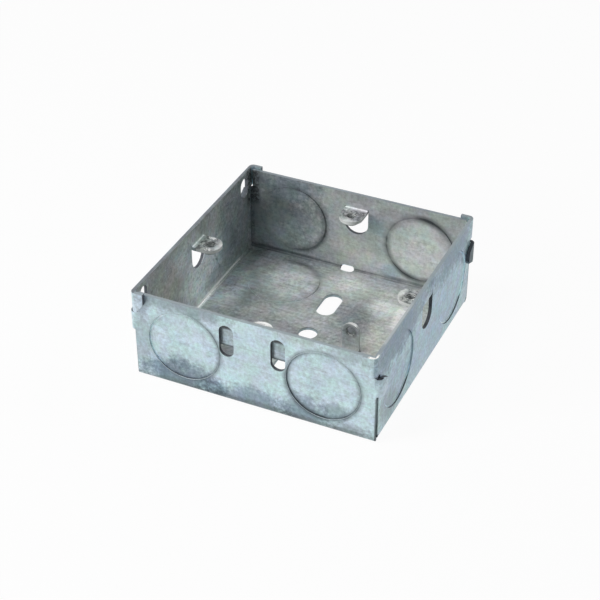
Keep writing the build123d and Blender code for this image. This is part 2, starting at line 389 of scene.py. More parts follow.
@dataclass(frozen=True)
class CoatMarks:
    """Masks of where the zinc at one point is cleaner, oily or cut, and of its painted shade and
    painted highlights.
    """

    sizes: BoxSizes
    at: SurfacePoint

    @cached_property
    def edge(self) -> float:
        """How far the inner side of a wall lies from the middle."""
        return self.sizes.half - self.sizes.sheet

    @cached_property
    def reach(self) -> Sock:
        """How far the point lies from the middle, along x or y."""
        return abs(self.at.x).most(abs(self.at.y))

    @cached_property
    def outside(self) -> Sock:
        """One on the outer faces of the walls and base, zero inside."""
        skin, under = self.edge + 0.2, self.sizes.sheet - 0.5
        return self.reach.rise(skin, skin + 0.25).most(self.at.z.fall(under, under + 0.3))

    @cached_property
    def faces(self) -> dict[Face, Sock]:
        """Tells the faces that have stains and painted shade of their own apart.

        Returns:
            For each face, one on it and zero elsewhere.
        """
        at, fold = self.at, self.sizes.fold
        inside = 1.0 - self.outside
        near, skin = self.edge - 1.2, self.edge + 0.2
        return {
            Face.FRONT: at.y.fall(-skin - 0.25, -skin),
            Face.RIGHT: at.x.rise(skin, skin + 0.25),
            Face.BACK: inside * at.y.rise(near, near + 0.5),
            Face.LEFT: inside * at.x.fall(-near - 0.5, -near),
            Face.BASE: inside * at.z.fall(fold, fold + 0.6),
        }

    @cached_property
    def rim(self) -> Sock:
        """One on the narrow upper edge of the walls."""
        low = self.sizes.depth - self.sizes.end_drop
        return self.at.facing_z.rise(0.7, 0.9) * self.at.z.rise(low - 0.3, low - 0.1)

    @cached_property
    def plate(self) -> Sock:
        """One on the strip where it shows in the front slots."""
        return abs(self.at.y + self.edge).fall(0.05, 0.1) * self.at.facing_y.fall(-0.6, -0.4)

    @cached_property
    def lug_height(self) -> Sock:
        """One at the height of the lugs, zero above and below."""
        top = self.sizes.lug_top
        return self.at.z.rise(top - 1.1, top - 0.9) * self.at.z.fall(top + 0.6, top + 0.8)

    @cached_property
    def ring(self) -> Sock:
        """Measures to the sheared edge of the nearest knock-out.

        Returns:
            The distance in millimetres, and a large one where there is no knock-out.
        """
        at, size = self.at, self.sizes
        rise = at.z - size.knockout_rise
        left, back = size.base_knockout
        near = self.edge - 0.8
        end_walls = self._circle(abs(at.x) - size.knockout_along, rise)
        end_walls = end_walls + FAR_MM * abs(at.y).fall(near, near + 0.2)
        side_walls = self._circle(abs(at.y) - size.knockout_along, rise)
        side_walls = side_walls + FAR_MM * abs(at.x).fall(near, near + 0.2)
        base = self._circle(at.x - left, at.y - back) + FAR_MM * at.z.rise(1.6, 1.8)
        return end_walls.least(side_walls).least(base)

    def _circle(self, across: Sock, up: Sock) -> Sock:
        """Distance from one knock-out's edge, in the plane of its wall."""
        reach = self.at.sheet.math("SQRT", across * across + up * up)
        return abs(reach - self.sizes.knockout_radius)

    @cached_property
    def ring_strength(self) -> Sock:
        """How plainly the knock-outs' edges show: most on the front and back, least on the left.

        Returns:
            The strength of the dark line.
        """
        x, y, faces = self.at.x, self.at.y, self.faces
        back = 0.28 - 0.40 * x.fall(-26.0, -18.0) - 0.22 * x.fall(-8.0, -4.0)
        back = back + 0.22 * x.rise(4.0, 8.0) * x.fall(18.0, 26.0)
        front = 0.05 - 0.30 * x.fall(-28.0, -18.0) + 0.12 * x.rise(14.0, 20.0)
        front = front + 0.25 * x.rise(-15.0, -11.0) * x.fall(-4.0, 0.0)
        base = 0.42 * x.rise(-25.0, -19.0) * y.rise(17.0, 21.0) - 0.36
        right = 0.16 * y.rise(-16.5, -12.0) * y.fall(-8.0, -4.0) - 0.42
        strength = 0.45 - 0.40 * faces[Face.LEFT] + front * faces[Face.FRONT]
        strength = strength + back * faces[Face.BACK] + base * faces[Face.BASE]
        return strength + right * faces[Face.RIGHT]

    def painted_step_light(self) -> Sock:
        """Painted light on the small steps round the knock-outs, against their shade, and painted
        shade on the strip behind the front slots.

        Returns:
            Steps of brightness.
        """
        at, half = self.at, self.sizes.half
        lip = self.ring.fall(0.10, 0.20) * abs(at.facing_z).fall(0.4, 0.6)
        right = at.x.rise(half - 0.8, half - 0.6) * at.x.fall(half - 0.2, half - 0.1)
        right_arc = 0.8 * at.z.fall(8.0, 11.0) + 0.5 * at.y.rise(0.0, 4.0) * at.z.rise(7.0, 10.0)
        front = at.y.fall(0.7 - half, 0.9 - half) * at.y.rise(0.1 - half, 0.2 - half)
        front_arc = 0.6 * abs(at.x + 28.0).fall(3.0, 5.0)
        # painted light on the step faces and disc edges, and painted shade on the recessed strip
        steps = self.ring.fall(0.35, 0.60) * (right_arc * right + front_arc * front)
        return 0.55 * self.faces[Face.BASE] * lip + steps - 0.42 * self.plate

    @cached_property
    def earth_tab(self) -> Sock:
        """Finds the upright earth tab.

        Returns:
            One on the tab, zero elsewhere.
        """
        at = self.at
        along, back, _ = self.sizes.earth_place
        middle = back - self.sizes.earth_thread[1] / 2
        within = abs(at.x - along).fall(2.6, 2.7) * abs(at.y - middle).fall(0.60, 0.65)
        return within * at.z.rise(1.6, 2.2)

    def dirt_and_shade(self) -> Sock:
        """Where oil and dust have gathered, together with painted shade in seams, folds, gaps,
        holes and behind the front slots.

        Returns:
            How thick it lies, from 0 to just under 1.
        """
        marks = largest((
            self._ring_oil_and_shade(),
            self._seam_oil_and_shade(),
            self._fold_dust_and_shade(),
            self._lap_shade(),
            self._lug_oil(),
            self._corner_oil(),
            self._strip_shadow(),
            self._slot_shadow(),
        ))
        return marks.least(0.95).most(self._earth_oil_and_shade())

    def _ring_oil_and_shade(self) -> Sock:
        """Oil and painted shade along the sheared edges and steps of the knock-outs.

        Returns:
            How thick it lies.
        """
        at, ring, faces = self.at, self.ring, self.faces
        patchy = 0.25 + 1.1 * at.clouds.rise(0.30, 0.68)
        soft = ring.fall(0.2, 1.9) * faces[Face.BASE].most(0.75 * faces[Face.BACK])
        wide = 0.7 * ring.fall(0.10, 1.5) * faces[Face.FRONT]
        # painted shade in the sheared gaps and on the steps, with oil
        line = largest((ring.fall(0.10, 0.85), soft, wide))
        lip = ring.fall(0.10, 0.20) * faces[Face.BACK] * abs(at.facing_y).fall(0.4, 0.6)
        return (line * self.ring_strength * patchy).most(0.75 * lip)

    def _seam_oil_and_shade(self) -> Sock:
        """Oil and painted shade in the upright corner seams, below the tabs, darker towards the
        bottom.

        Returns:
            How thick it lies.
        """
        at, edge, half, foot = self.at, self.edge, self.sizes.half, self.sizes.tab_foot
        seam = abs(at.x).rise(edge + 0.4, edge + 0.66) * abs(at.y).rise(edge - 0.5, edge - 0.1)
        seam = seam * abs(at.y).fall(half - 0.05, half + 0.05)
        # painted shade in the seam gap, with oil, darker towards the bottom
        return (0.78 - 0.02 * at.z) * seam * at.z.fall(foot - 0.4, foot)

    def _fold_dust_and_shade(self) -> Sock:
        """Dust and painted shade along the inside of the front and back folds, broader towards the
        corners.

        Returns:
            How thick it lies.
        """
        at, edge = self.at, self.edge
        thin = abs(at.y).rise(edge - 0.52, edge - 0.40) * at.z.fall(1.4, 1.9)
        broad = abs(at.y).rise(edge - 0.95, edge - 0.55) * at.z.fall(1.8, 2.6)
        ends = at.x.fall(-16.0, -6.0).most(at.x.rise(6.0, 12.0))
        # dust and painted shade in the crease of the folds
        dust = (0.75 * thin).most(0.65 * broad * ends) * (1.0 - self.outside)
        return dust * (0.30 + 0.9 * at.blotches)

    def _lap_shade(self) -> Sock:
        """Painted shade on the tab at the far right corner and under the flaps of the back wall.

        Returns:
            How thick it lies.
        """
        at, half = self.at, self.sizes.half
        tab = at.x.rise(half + 0.15, half + 0.3) * at.y.rise(29.0, 30.0)
        flap = at.y.rise(half + 0.1, half + 0.2) * at.facing_y.fall(-0.8, -0.5)
        # painted shade on the tab and in the gap under the flaps
        return (0.75 * tab * (0.6 + 0.6 * at.blotches)).most(0.45 * flap)

    def _lug_oil(self) -> Sock:
        """Specks of oil on the lugs, round their threads.

        Returns:
            How thick it lies.
        """
        at, edge = self.at, self.edge
        lugs = self.reach.rise(27.6, 28.8) * self.reach.fall(edge - 1.2, edge - 0.9)
        lugs = lugs * self.lug_height * at.facing_z.rise(0.6, 0.8)
        return lugs * (0.25 + 0.60 * at.specks.fall(0.40, 0.60)) * (0.3 + at.blotches)

    def _corner_oil(self) -> Sock:
        """Specks of dark dirt in the upper part of the far left corner.

        Returns:
            How thick it lies.
        """
        at, edge = self.at, self.edge
        corner = at.x.fall(2.2 - edge, 3.6 - edge) * at.y.rise(edge - 3.6, edge - 2.2)
        corner = corner * at.z.rise(14.0, 18.0) * (1.0 - self.outside)
        return 0.9 * corner * at.specks.rise(0.38, 0.56)

    def _strip_shadow(self) -> Sock:
        """Painted shadow along the upper edge of the strip behind the front slots.

        Returns:
            How thick it lies.
        """
        at, outer, inner = self.at, -self.edge, self.sizes.sheet - self.edge
        strip = at.y.rise(outer - 0.1, outer) * at.y.fall(inner, inner + 0.1)
        strip = strip * abs(at.z - self.sizes.strip_top).fall(0.1, 0.2)
        # painted shadow at the top of the front slots
        return 0.7 * strip * at.facing_z.rise(0.6, 0.8)

    def _slot_shadow(self) -> Sock:
        """Painted shadow on the strip behind the front slots: at their left side, top and bottom.

        Returns:
            How thick it lies.
        """
        at, size = self.at, self.sizes
        bottom, top = size.front_slot_ends
        half_width = size.front_slot_width / 2
        ends = at.z.rise(top - 2.2, top - 1.4).most(at.z.fall(bottom + 2.9, bottom + 3.6))
        slots = []
        for middle in (-size.front_slot_along, size.front_slot_along):
            across = at.x - middle
            left = across.fall(0.2 - half_width, 0.9 - half_width)
            within = abs(across).fall(half_width + 0.1, half_width + 0.3)
            slots.append(within * (0.65 * left).most(0.8 * ends))
        # painted shadow cast by the slot edges onto the strip
        return 0.9 * largest(slots) * self.plate * (0.6 + 0.8 * at.specks)

    def _earth_oil_and_shade(self) -> Sock:
        """Oil on the earth tab, with painted shade round and in its hole.

        Returns:
            How thick it lies.
        """
        at = self.at
        along, _, up = self.sizes.earth_place
        across, rise = at.x - along, at.z - up
        reach = at.sheet.math("SQRT", across * across + rise * rise)
        smudge = (0.12 + 0.50 * reach.fall(1.4, 2.4)) * (0.2 + 1.4 * at.blotches)
        # oil on the tab, painted shade in and round the hole
        return self.earth_tab * smudge

    def shorn_and_shaded(self) -> Sock:
        """Finds the cut edges of walls and base, where the sheet's thickness shows; they are
        painted near black, bare steel with painted shade laid on it.

        Returns:
            One on a cut edge, zero elsewhere.
        """
        at, size, skin = self.at, self.sizes, self.edge + 0.03
        inner = size.half - size.fold - 0.2
        ends = abs(at.y).rise(skin, skin + 0.04) * abs(at.x).fall(inner, inner + 0.2)
        sides = abs(at.x).rise(skin, skin + 0.04) * abs(at.y).fall(inner, inner + 0.2)
        cut = ends * abs(at.facing_y).fall(0.4, 0.6)
        cut = cut.most(sides * abs(at.facing_x).fall(0.4, 0.6))
        ring = self.ring.fall(0.06, 0.12)
        cut = cut * (1.0 - ring) + cut * ring * self.ring_strength
        holes = self.reach.fall(inner - 0.4, inner - 0.2) * (1.0 - ring)
        holes = holes * at.z.fall(size.sheet - 0.06, size.sheet - 0.02)
        holes = 0.45 * holes * abs(at.facing_z).fall(0.4, 0.6)
        notches = self.reach.rise(skin, skin + 0.04) * at.z.rise(2.0, 2.2)
        notches = notches * abs(at.facing_z).rise(0.6, 0.8)
        return largest((cut, holes, notches)) * (1.0 - self.rim)

    def painted_highlight(self) -> Sock:
        """Painted highlights: on the lugs' edges and tips, the earth tab's edges, the left fold,
        the near corner's rim and the right rim.

        Returns:
            One on a painted highlight, zero elsewhere.
        """
        at, inner, reach = self.at, self.edge, self.reach
        lugs = reach.fall(inner - 1.4, inner - 1.0) * reach.rise(25.0, 26.0) * self.lug_height
        tips = reach.fall(27.2, 28.6) * at.facing_z.rise(0.7, 0.9)
        tips = tips * (0.35 + 0.55 * at.y.fall(-26.0, -24.0))
        tips = tips.most(0.8 * at.blotches.rise(0.54, 0.62) * at.specks.rise(0.42, 0.52))
        lugs = lugs * abs(at.facing_z).fall(0.5, 0.8).most(tips)
        earth = 0.5 * self.earth_tab * abs(at.facing_y).fall(0.5, 0.8)
        fold = at.x.fall(0.8 - inner, 1.3 - inner) * at.z.fall(1.4, 2.0) * at.z.rise(0.9, 0.99)
        fold = fold * at.y.fall(20.0, 30.0) * at.y.rise(-12.0, -4.0) * (0.55 + 0.8 * at.blotches)
        corner = at.x.rise(inner - 1.6, inner - 0.8) * at.y.fall(1.4 - inner, 2.2 - inner)
        # painted glint on the near corner's rim
        glint = at.x.rise(inner + 0.4, inner + 0.6).most(at.y.fall(-inner - 1.5, -inner - 1.3))
        glint = glint * corner * self.rim * at.y.fall(-inner - 0.6, 0.8 - inner)
        side = at.x.rise(inner - 0.2, inner - 0.1) * at.x.fall(inner + 0.5, inner + 0.8)
        side = 0.25 * side * self.rim * at.y.rise(-31.0, -28.0) * at.y.fall(-12.0, -8.0)
        return largest((lugs, earth, fold, glint, side))


@dataclass(frozen=True)
class GalvanisedSteel:
    """Zinc-coated sheet: mottled, cool outside, duller inside, with stains, painted shade and
    painted highlights, and cut edges painted dark.
    """

    sizes: BoxSizes
    outer: Colour = (0.595, 0.745, 0.795)
    inner: Colour = (0.500, 0.532, 0.530)
    cool: Colour = (0.87, 0.985, 1.065)
    smudge: Colour = (0.86, 0.94, 1.08)
    warm: Colour = (1.06, 1.00, 0.92)
    blush: Colour = (1.035, 0.975, 1.03)
    moss: Colour = (0.965, 1.02, 0.965)
    plain: Colour = (1.0, 1.0, 1.0)
    grime_and_shade: Colour = (0.030, 0.036, 0.042)
    shorn_and_shaded: Colour = (0.075, 0.080, 0.095)
    rim: Colour = (0.315, 0.365, 0.390)
    shaded_rim: Colour = (0.15, 0.16, 0.18)
    painted_highlight: Colour = (0.93, 0.94, 0.92)
    metallic: float = 0.5
    roughness: float = 0.48
    spangle_mm: float = 2.4
    cloud_mm: float = 13.0
    # Grime and cleaner zinc, mixed with painted shade and painted light: the darker far left of
    # the back and left walls, the lighter left of the base that the left wall shades, and the dark
    # base seen through the left front slot.
    stains_and_shade: tuple[StainOrShade, ...] = (
        StainOrShade(Face.BACK, (-29.0, 15.0), (22.0, 26.0), -0.92, -0.5),
        StainOrShade(Face.BACK, (-19.0, 8.0), (11.0, 10.0), 0.45, -0.1),
        StainOrShade(Face.BACK, (19.5, 14.5), (13.0, 14.0), 0.50, 0.2),
        StainOrShade(Face.BACK, (-1.0, 8.0), (9.0, 6.0), 0.20, 0.7),
        StainOrShade(Face.BACK, (-28.0, 6.0), (7.0, 7.0), 0.35, -0.2),
        StainOrShade(Face.BACK, (9.0, 5.0), (9.0, 5.0), 0.25),
        StainOrShade(Face.BACK, (6.5, 18.5), (4.5, 4.5), -0.25, -0.9),
        StainOrShade(Face.BACK, (11.0, 4.0), (5.0, 3.0), -0.10, -1.0),
        StainOrShade(Face.BACK, (-22.0, 24.0), (11.0, 5.0), 0.12, -1.0),
        StainOrShade(Face.LEFT, (24.0, 14.0), (16.0, 24.0), -0.45, -0.5),
        StainOrShade(Face.LEFT, (3.0, 11.0), (18.0, 13.0), 0.80, -0.2),
        StainOrShade(Face.LEFT, (8.0, 5.0), (9.0, 3.5), -0.50, -0.2),
        StainOrShade(Face.LEFT, (-7.0, 22.0), (10.0, 7.0), 0.50, -0.3),
        StainOrShade(Face.LEFT, (17.0, 12.0), (8.0, 8.0), -0.30, -0.4),
        StainOrShade(Face.LEFT, (-18.0, 18.0), (10.0, 6.0), 0.00, 0.9),
        StainOrShade(Face.BASE, (-30.0, 12.0), (7.0, 17.0), 0.72, -0.4),
        StainOrShade(Face.BASE, (-22.5, 10.0), (4.0, 12.0), -0.12, -0.4),
        StainOrShade(Face.BASE, (-14.0, 19.5), (13.0, 10.5), 0.60, 0.1),
        StainOrShade(Face.BASE, (-24.0, 34.0), (22.0, 7.0), -0.45, -0.4),
        StainOrShade(Face.BASE, (0.0, 26.0), (10.0, 8.0), 0.60, 0.2),
        StainOrShade(Face.BASE, (14.0, 24.5), (9.0, 8.0), 0.30, 0.5),
        StainOrShade(Face.BASE, (15.0, 19.5), (6.0, 6.0), 0.72, 0.1),
        StainOrShade(Face.BASE, (18.5, 7.0), (5.0, 12.0), 0.30, 0.6),
        StainOrShade(Face.BASE, (8.5, 13.0), (7.0, 6.5), -0.65, -0.4),
        StainOrShade(Face.BASE, (8.0, 6.0), (6.0, 5.0), -0.35, -0.3),
        StainOrShade(Face.BASE, (12.5, 6.0), (4.0, 6.0), -0.45, -0.1),
        StainOrShade(Face.BASE, (10.5, 5.6), (3.2, 3.2), -0.80, -0.2),
        StainOrShade(Face.BASE, (21.0, 18.0), (2.6, 9.0), 0.75, 0.3),
        StainOrShade(Face.BASE, (-9.0, -1.0), (27.0, 5.0), -0.42, -0.1),
        StainOrShade(Face.BASE, (-2.0, 7.0), (8.0, 7.0), 0.20, 0.1),
        StainOrShade(Face.BASE, (-16.4, -16.6), (6.0, 3.5), -0.90, -0.5),
        StainOrShade(Face.FRONT, (-22.0, 2.5), (15.0, 7.5), -1.25, -0.7),
        StainOrShade(Face.FRONT, (-2.0, 1.0), (17.0, 7.0), -0.95, -0.7),
        StainOrShade(Face.FRONT, (15.0, 2.0), (10.0, 8.0), -0.85, -0.5),
        StainOrShade(Face.FRONT, (28.0, 0.5), (9.0, 5.0), -0.70),
        StainOrShade(Face.FRONT, (23.0, 6.5), (5.5, 3.5), -0.70, -0.3),
        StainOrShade(Face.FRONT, (-22.0, 7.8), (4.0, 3.2), -0.75, -0.3),
        StainOrShade(Face.FRONT, (-12.0, 3.0), (6.0, 3.5), -0.45, -0.6),
        StainOrShade(Face.FRONT, (-28.5, 4.0), (5.0, 3.5), -0.22, -0.5),
        StainOrShade(Face.FRONT, (-33.0, 12.0), (3.5, 14.0), -0.40),
        StainOrShade(Face.FRONT, (-20.0, 26.5), (17.0, 2.8), -0.78),
        StainOrShade(Face.FRONT, (28.0, 26.0), (9.0, 3.0), -0.40, 0.2),
        StainOrShade(Face.FRONT, (12.0, 27.0), (8.0, 2.6), -0.25, 0.5),
        StainOrShade(Face.FRONT, (0.0, 1.0), (44.0, 1.9), -0.75, 0.5),
        StainOrShade(Face.RIGHT, (-20.0, 27.0), (28.0, 11.0), -0.90, -0.9),
        StainOrShade(Face.RIGHT, (18.0, 27.0), (22.0, 10.0), -0.80, -0.8),
        StainOrShade(Face.RIGHT, (-22.0, 10.0), (12.0, 12.0), -0.20, -0.4),
        StainOrShade(Face.RIGHT, (-27.0, 7.0), (9.0, 6.0), -0.30, 0.2),
        StainOrShade(Face.RIGHT, (8.0, 12.0), (32.0, 16.0), -0.14, -0.6),
    )

    def build(self) -> bpy.types.Material:
        """Writes the material.

        Returns:
            The finished material.
        """
        material, sheet = new_material("galvanised_steel")
        at = SurfacePoint.read(sheet, self.cloud_mm)
        marks = CoatMarks(self.sizes, at)
        spangle, scratch = self._spangle(at), self._scratches(at)
        dirt_and_shade, shorn_and_shaded, painted_highlight = marks.dirt_and_shade(), marks.shorn_and_shaded(), marks.painted_highlight()

        mottle = 0.34 + 0.08 * at.clouds + 0.16 * at.blotches + 0.94 * at.specks
        mottle = mottle + 0.14 * spangle - 0.12 * scratch
        grained = (1.0 - marks.outside) * (1.0 - 0.6 * marks.faces[Face.BACK])
        mottle = mottle + grained * (0.75 * (at.grain - 0.5) + 0.55 * (at.specks - 0.5))
        colour = sheet.scaled(self._tone(marks), mottle)
        inner = marks.edge
        # the rims of the left and back walls are painted darker as painted shade
        far = at.x.fall(-inner - 0.2, 0.4 - inner).most(0.5 * at.y.rise(inner - 0.4, inner + 0.2))
        edge = sheet.mix(far, self.rim, self.shaded_rim)
        colour = sheet.mix(marks.rim * (0.55 + 0.6 * at.blotches), colour, edge)
        # grime, and painted shade in seams, folds, gaps, holes and behind the front slots
        colour = sheet.mix(dirt_and_shade, colour, self.grime_and_shade)
        # cut edges painted near black: bare steel with painted shade
        colour = sheet.mix(shorn_and_shaded * (0.75 + 0.4 * at.specks), colour, self.shorn_and_shaded)
        # painted highlights in near-white
        colour = sheet.mix(painted_highlight * (0.7 + 0.5 * at.specks), colour, self.painted_highlight)

        dirty_or_shaded = dirt_and_shade.most(shorn_and_shaded)
        rough = self.roughness + 0.16 * (at.clouds - 0.5) + 0.14 * (spangle - 0.5)
        flat = painted_highlight * at.facing_z.rise(0.6, 0.9)
        rough = rough + 0.25 * dirty_or_shaded + 0.10 * (at.specks - 0.5) - 0.30 * flat
        height = 0.40 * at.clouds + 0.16 * at.blotches + 0.08 * at.specks - 0.05 * scratch
        bump = sheet.node(
            "ShaderNodeBump", {}, {"Strength": 0.4, "Distance": 0.0005, "Height": height}, "Normal"
        )
        surface = sheet.node("ShaderNodeBsdfPrincipled", {}, {
            "Base Color": colour,
            "Metallic": self.metallic - 0.4 * dirty_or_shaded.most(painted_highlight) + 0.9 * flat,
            "Roughness": rough,
            "Normal": bump,
        })
        close_material(sheet, surface)
        return material

    def _spangle(self, at: SurfacePoint) -> Sock:
        """Flat crystals of the zinc.

        Args:
            at: the point that is being shaded.

        Returns:
            The brightness of its crystal, from 0 to 1.
        """
        sheet = at.sheet
        wobble = sheet.node("ShaderNodeTexNoise", {}, {"Vector": at.point, "Scale": 0.6}, "Color")
        bent = sheet.node("ShaderNodeVectorMath", {"operation": "MULTIPLY_ADD"}, {
            0: wobble, 1: (1.6, 1.6, 1.6), 2: at.point,
        })
        settings = {"feature": "F1", "distance": "EUCLIDEAN"}
        inputs = {"Vector": bent, "Scale": 1.0 / self.spangle_mm}
        tint = sheet.node("ShaderNodeTexVoronoi", settings, inputs, "Color")
        return sheet.node("ShaderNodeSeparateColor", {}, {0: tint}, 0)

    def _scratches(self, at: SurfacePoint) -> Sock:
        """Fine handling scratches, mostly along the walls.

        Args:
            at: the point that is being shaded.

        Returns:
            One on a scratch, zero elsewhere.
        """
        sheet = at.sheet
        along = sheet.noise(sheet.times(at.point, (0.07, 0.07, 2.4)), 1.0, 2.0)
        across = sheet.noise(sheet.times(at.point, (1.9, 1.9, 0.10)), 1.0, 2.0)
        return along.rise(0.60, 0.70).most(0.7 * across.rise(0.62, 0.72))

    def _tone(self, marks: CoatMarks) -> Sock:
        """Body colour: cool outside, duller inside, with every stain and patch of painted shade or
        light laid over it.

        Args:
            marks: the masks of the point that is being shaded.

        Returns:
            The colour.
        """
        at, outside = marks.at, marks.outside
        sheet = at.sheet
        axes = {"x": at.x, "y": at.y, "z": at.z}
        ragged = 1.3 * (at.blotches - 0.5) + 0.8 * (at.specks - 0.5)
        steps: Sock | float = 0.0
        warmth: Sock | float = 0.0
        for stain_or_shade in self.stains_and_shade:
            first, second = (axes[name] for name in stain_or_shade.face.axes)
            across = (first - stain_or_shade.place[0]) / stain_or_shade.reach[0]
            along = (second - stain_or_shade.place[1]) / stain_or_shade.reach[1]
            spread = (across * across + along * along + ragged).fall(0.0, 1.0)
            spread = spread * marks.faces[stain_or_shade.face]
            # each patch lays its stain, painted shade or painted light over its face
            steps = steps + stain_or_shade.strength * spread
            warmth = warmth + stain_or_shade.warmth * spread
        uneven = 0.40 + 0.60 * at.clouds + 0.60 * at.blotches
        warmth = warmth * uneven + (2.6 - 1.4 * outside) * (at.hue - 0.5)
        bright = sheet.math("POWER", 2.0, steps * uneven + marks.painted_step_light())
        colour = sheet.mix(outside.most(0.9 * marks.plate), self.inner, self.outer)
        blue = sheet.mix(outside, self.cool, self.smudge)
        cast = sheet.mix(-warmth, sheet.mix(warmth, self.plain, self.warm), blue)
        film = sheet.mix(at.patina.rise(0.35, 0.65), self.moss, self.blush)
        return sheet.scaled(sheet.times(colour, sheet.times(film, cast)), bright)


@dataclass(frozen=True)
class ShearedSteel:
    """Torn or cut steel without its zinc: dark, with brighter flecks."""

    name: str
    dark: Colour
    bright: Colour
    roughness: float
    metallic: float = 0.7

    def build(self) -> bpy.types.Material:
        """Writes the material.

        Returns:
            The finished material.
        """
        material, sheet = new_material(self.name)
        place = sheet.node("ShaderNodeTexCoord", output="Object")
        point = sheet.scaled(place, 1.0 / MM)
        clouds = sheet.noise(point, 4.0)
        flecks = sheet.noise(point, 0.5, 3.0, 0.6)
        colour = sheet.mix(flecks.rise(0.42, 0.70) * (0.4 + clouds), self.dark, self.bright)
        bump = sheet.node(
            "ShaderNodeBump", {}, {"Strength": 0.4, "Distance": 0.0001, "Height": flecks}, "Normal"
        )
        surface = sheet.node("ShaderNodeBsdfPrincipled", {}, {
            "Base Color": colour,
            "Metallic": self.metallic,
            "Roughness": self.roughness + 0.2 * (clouds - 0.5),
            "Normal": bump,
        })
        close_material(sheet, surface)
        return material


# Repeated details, made with geometry nodes


class GrowTree:
    """A geometry node tree with named inputs, which grows one detail at every marked point."""

    def __init__(self, name: str, sizes: dict[str, float]) -> None:
        """Starts the tree.

        Args:
            name: the tree's name.
            sizes: its named inputs and their values.
        """
        self.group = bpy.data.node_groups.new(name, "GeometryNodeTree")
        self.sheet = NodeSheet(self.group)
        face = self.group.interface
        face.new_socket("Geometry", in_out="INPUT", socket_type="NodeSocketGeometry")
        self.values = sizes
        self.keys = {
            label: face.new_socket(label, in_out="INPUT", socket_type="NodeSocketFloat").identifier
            for label in sizes
        }
        face.new_socket("Geometry", in_out="OUTPUT", socket_type="NodeSocketGeometry")
        self.source = self.group.nodes.new("NodeGroupInput")

    def value(self, label: str) -> Sock:
        """One named input."""
        return Sock(self.sheet, self.source.outputs[label])

    def circle(self, steps: int, label: str) -> Sock:
        """A circle whose radius is one named input."""
        inputs = {"Resolution": steps, "Radius": self.value(label)}
        return self.sheet.node("GeometryNodeCurvePrimitiveCircle", {"mode": "RADIUS"}, inputs)

    def close(self, detail: Sock, material: bpy.types.Material) -> None:
        """Sets the detail at every point, turned as its point says, and gives it its material.

        Args:
            detail: the geometry to repeat.
            material: its finish.
        """
        settings = {"data_type": "FLOAT_VECTOR"}
        turn = self.sheet.node("GeometryNodeInputNamedAttribute", settings, {"Name": "turn"})
        turned = self.sheet.node("FunctionNodeEulerToRotation", {}, {0: turn})
        placed = self.sheet.node("GeometryNodeInstanceOnPoints", {}, {
            "Points": self.value("Geometry"), "Instance": detail, "Rotation": turned,
        })
        real = self.sheet.node("GeometryNodeRealizeInstances", {}, {0: placed})
        dressed = self.sheet.node("GeometryNodeSetMaterial", {}, {"Geometry": real})
        dressed.socket.node.inputs["Material"].default_value = material
        self.sheet.node("NodeGroupOutput", {}, {0: dressed})

    def grow(self, name: str, marks: Sequence[tuple[Point, Point]]) -> bpy.types.Object:
        """Runs the tree on a set of points and keeps the result as a plain mesh.

        Args:
            name: name of the finished object.
            marks: place in millimetres and turn in radians of each copy.

        Returns:
            The finished object, at the origin.
        """
        mesh = bpy.data.meshes.new(name)
        mesh.from_pydata([Vector(place) * MM for place, _ in marks], [], [])
        turns = mesh.attributes.new("turn", "FLOAT_VECTOR", "POINT")
        for item, (_, turn) in zip(turns.data, marks):
            item.vector = turn
        piece = bpy.data.objects.new(name, mesh)
        bpy.context.scene.collection.objects.link(piece)
        modifier = piece.modifiers.new("grow", "NODES")
        modifier.node_group = self.group
        for label, key in self.keys.items():
            modifier[key] = self.values[label]
        graph = bpy.context.evaluated_depsgraph_get()
        grown = bpy.data.meshes.new_from_object(piece.evaluated_get(graph))
        piece.modifiers.clear()
        piece.data = grown
        for polygon in grown.polygons:
            polygon.use_smooth = True
        return piece


